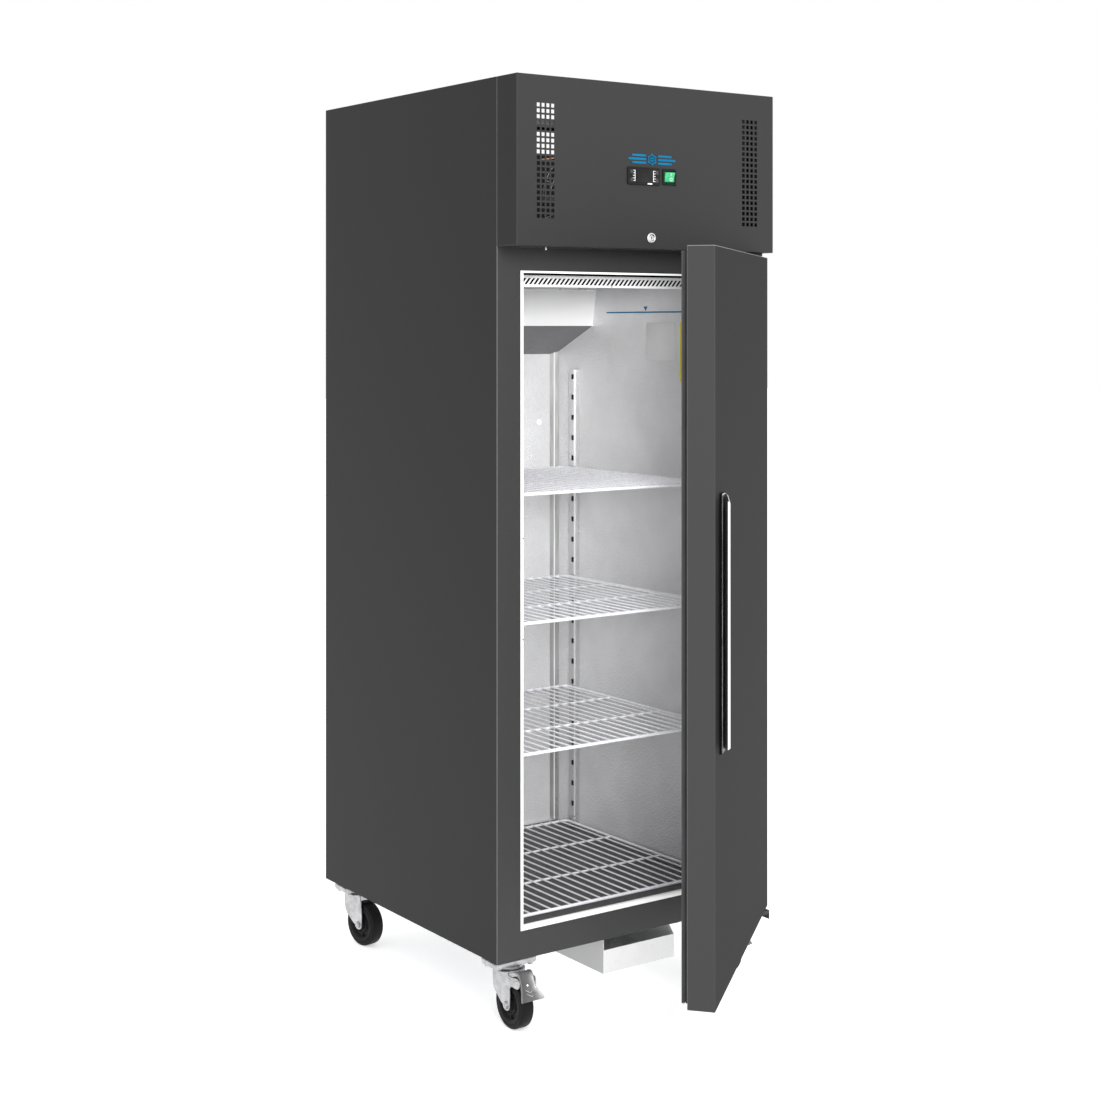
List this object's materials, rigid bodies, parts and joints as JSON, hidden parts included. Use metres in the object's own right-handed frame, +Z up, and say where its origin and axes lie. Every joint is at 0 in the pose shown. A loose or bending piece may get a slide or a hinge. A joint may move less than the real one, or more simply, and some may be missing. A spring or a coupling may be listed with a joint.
{
  "type": "reach in refrigerator",
  "caption": "Upright commercial reach-in refrigerator on castors, with a hinged insulated door, wire shelves, a top machine compartment and a drip tray.",
  "frame": {"origin": "under the middle of the whole outline with the door standing ajar, at floor level", "axes": "+Z up, -Y towards the front of the cabinet, +X to the right seen from the front"},
  "size_m": [0.6894, 1.2166, 1.946],
  "materials": {
    "charcoal_paint": "satin fine-texture powder coat",
    "galvanised_steel": "dull zinc-coated sheet",
    "insulation_foam": "matt foam",
    "liner_aluminium": "stucco-embossed sheet",
    "door_liner": "satin sheet",
    "white_trim": "satin white plastic",
    "shelf_coating": "smooth white plastic coating on wire",
    "pilaster_steel": "satin",
    "black_plastic": "satin moulded plastic",
    "key_rubber": "matt",
    "rocker_green": "clear lit plastic",
    "lock_chrome": "bright plated",
    "compressor_black": "gloss enamel",
    "fin_aluminium": "plain fin stock",
    "gasket_rubber": "matt flexible seal",
    "handle_steel": "brushed along its length",
    "zinc_plate": "bright zinc plating",
    "castor_tyre": "matt rubber",
    "tray_white": "satin white coat"
  },
  "bodies": {
    "cabinet": {"left_side_panel": "charcoal_paint", "right_side_panel": "charcoal_paint", "back_panel": "charcoal_paint", "front_frame": "charcoal_paint", "header_front_cover": "charcoal_paint", "hinge_bracket_top": "charcoal_paint", "hinge_bracket_bottom": "charcoal_paint", "bottom_panel": "galvanised_steel", "compartment_deck": "galvanised_steel", "condenser_fan_shroud": "galvanised_steel", "foam_insulation": "insulation_foam", "inner_liner": "liner_aluminium", "evaporator_housing": "liner_aluminium", "opening_trim": "white_trim", "pilaster_left_front": "pilaster_steel", "pilaster_left_rear": "pilaster_steel", "pilaster_right_front": "pilaster_steel", "pilaster_right_rear": "pilaster_steel", "air_grille": "pilaster_steel", "controller_bezel": "black_plastic", "switch_frame": "black_plastic", "cable_gland": "black_plastic", "lock_housing": "lock_chrome", "compressor": "compressor_black", "condenser_coil": "fin_aluminium", "evaporator_coil": "fin_aluminium", "castor_plate_front_left": "zinc_plate", "castor_plate_front_right": "zinc_plate", "castor_plate_rear_left": "zinc_plate", "castor_plate_rear_right": "zinc_plate"},
    "door": {"door_outer_skin": "charcoal_paint", "door_foam": "insulation_foam", "door_inner_liner": "door_liner", "door_gasket": "gasket_rubber", "handle_base": "black_plastic", "handle_grip": "handle_steel"},
    "shelf_1": {"shelf_1": "shelf_coating"},
    "controller_key_1": {"controller_key_1": "key_rubber"},
    "shelf_2": {"shelf_2": "shelf_coating"},
    "controller_key_2": {"controller_key_2": "key_rubber"},
    "shelf_3": {"shelf_3": "shelf_coating"},
    "controller_key_3": {"controller_key_3": "key_rubber"},
    "shelf_4": {"shelf_4": "shelf_coating"},
    "controller_key_4": {"controller_key_4": "key_rubber"},
    "switch_rocker": {"switch_rocker": "rocker_green"},
    "lock_barrel": {"lock_barrel": "lock_chrome"},
    "door_switch_plunger": {"door_switch_plunger": "lock_chrome"},
    "condenser_fan": {"condenser_fan_blade": "fin_aluminium"},
    "evaporator_fan": {"evaporator_fan_blade": "black_plastic"},
    "drip_tray": {"drip_tray": "tray_white"},
    "castor_fork_front_left": {"castor_fork_front_left": "zinc_plate"},
    "castor_wheel_front_left": {"castor_wheel_front_left": "castor_tyre"},
    "castor_fork_front_right": {"castor_fork_front_right": "zinc_plate"},
    "castor_wheel_front_right": {"castor_wheel_front_right": "castor_tyre"},
    "castor_fork_rear_left": {"castor_fork_rear_left": "zinc_plate"},
    "castor_wheel_rear_left": {"castor_wheel_rear_left": "castor_tyre"},
    "castor_fork_rear_right": {"castor_fork_rear_right": "zinc_plate"},
    "castor_wheel_rear_right": {"castor_wheel_rear_right": "castor_tyre"},
    "brake_pedal_front_left": {"brake_pedal_front_left": "zinc_plate"},
    "brake_pedal_front_right": {"brake_pedal_front_right": "zinc_plate"}
  },
  "joints": [
    {"name": "door_hinge", "type": "hinge", "parent": "cabinet", "child": "door", "pos_m": [0.30432, -0.1697, 0.875], "axis": [0, 0, 1], "range_deg": [-40, 60]},
    {"name": "shelf_1_slide", "type": "slide", "parent": "cabinet", "child": "shelf_1", "axis": [0, -1, 0], "range_m": [0, 0.05]},
    {"name": "shelf_2_slide", "type": "slide", "parent": "cabinet", "child": "shelf_2", "axis": [0, -1, 0], "range_m": [0, 0.05]},
    {"name": "shelf_3_slide", "type": "slide", "parent": "cabinet", "child": "shelf_3", "axis": [0, -1, 0], "range_m": [0, 0.05]},
    {"name": "shelf_4_slide", "type": "slide", "parent": "cabinet", "child": "shelf_4", "axis": [0, -1, 0], "range_m": [0, 0.05]},
    {"name": "controller_key_1_press", "type": "slide", "parent": "cabinet", "child": "controller_key_1", "axis": [0, 1, 0], "range_m": [0, 0.001], "stiffness_N_per_m": 300},
    {"name": "controller_key_2_press", "type": "slide", "parent": "cabinet", "child": "controller_key_2", "axis": [0, 1, 0], "range_m": [0, 0.001], "stiffness_N_per_m": 300},
    {"name": "controller_key_3_press", "type": "slide", "parent": "cabinet", "child": "controller_key_3", "axis": [0, 1, 0], "range_m": [0, 0.001], "stiffness_N_per_m": 300},
    {"name": "controller_key_4_press", "type": "slide", "parent": "cabinet", "child": "controller_key_4", "axis": [0, 1, 0], "range_m": [0, 0.001], "stiffness_N_per_m": 300},
    {"name": "switch_rocker_tilt", "type": "hinge", "parent": "cabinet", "child": "switch_rocker", "pos_m": [0.04252, -0.2037, 1.755], "axis": [1, 0, 0], "range_deg": [-12, 0]},
    {"name": "lock_turn", "type": "hinge", "parent": "cabinet", "child": "lock_barrel", "pos_m": [-0.00518, -0.2077, 1.6257], "axis": [0, 1, 0], "range_deg": [-90, 0]},
    {"name": "door_switch_press", "type": "slide", "parent": "cabinet", "child": "door_switch_plunger", "axis": [0, 0, 1], "range_m": [0, 0.004], "stiffness_N_per_m": 150},
    {"name": "condenser_fan_spin", "type": "hinge", "parent": "cabinet", "child": "condenser_fan", "pos_m": [0.11032, 0.1553, 1.73], "axis": [0, 1, 0], "continuous": true},
    {"name": "evaporator_fan_spin", "type": "hinge", "parent": "cabinet", "child": "evaporator_fan", "pos_m": [-0.00468, 0.3828, 1.495], "axis": [0, 1, 0], "continuous": true},
    {"name": "drip_tray_slide", "type": "slide", "parent": "cabinet", "child": "drip_tray", "axis": [0, -1, 0], "range_m": [0, 0.25]},
    {"name": "castor_swivel_front_left", "type": "hinge", "parent": "cabinet", "child": "castor_fork_front_left", "pos_m": [-0.27868, -0.0807, 0.1197], "axis": [0, 0, 1], "continuous": true},
    {"name": "castor_wheel_spin_front_left", "type": "hinge", "parent": "castor_fork_front_left", "child": "castor_wheel_front_left", "pos_m": [-0.27868, -0.1027, 0.05], "axis": [1, 0, 0], "continuous": true},
    {"name": "castor_swivel_front_right", "type": "hinge", "parent": "cabinet", "child": "castor_fork_front_right", "pos_m": [0.26932, -0.0807, 0.1197], "axis": [0, 0, 1], "continuous": true},
    {"name": "castor_wheel_spin_front_right", "type": "hinge", "parent": "castor_fork_front_right", "child": "castor_wheel_front_right", "pos_m": [0.27389, -0.10222, 0.05], "axis": [0.9781, 0.2079, 0], "continuous": true},
    {"name": "castor_swivel_rear_left", "type": "hinge", "parent": "cabinet", "child": "castor_fork_rear_left", "pos_m": [-0.27868, 0.5493, 0.1197], "axis": [0, 0, 1], "continuous": true},
    {"name": "castor_wheel_spin_rear_left", "type": "hinge", "parent": "castor_fork_rear_left", "child": "castor_wheel_rear_left", "pos_m": [-0.27524, 0.52757, 0.05], "axis": [0.9877, 0.1564, 0], "continuous": true},
    {"name": "castor_swivel_rear_right", "type": "hinge", "parent": "cabinet", "child": "castor_fork_rear_right", "pos_m": [0.26932, 0.5493, 0.1197], "axis": [0, 0, 1], "continuous": true},
    {"name": "castor_wheel_spin_rear_right", "type": "hinge", "parent": "castor_fork_rear_right", "child": "castor_wheel_rear_right", "pos_m": [0.26932, 0.5273, 0.05], "axis": [1, 0, 0], "continuous": true},
    {"name": "brake_pedal_tilt_front_left", "type": "hinge", "parent": "castor_fork_front_left", "child": "brake_pedal_front_left", "pos_m": [-0.27868, -0.1407, 0.106], "axis": [1, 0, 0], "range_deg": [0, 12]},
    {"name": "brake_pedal_tilt_front_right", "type": "hinge", "parent": "castor_fork_front_right", "child": "brake_pedal_front_right", "pos_m": [0.28179, -0.13939, 0.106], "axis": [0.9781, 0.2079, 0], "range_deg": [0, 12]}
  ]
}
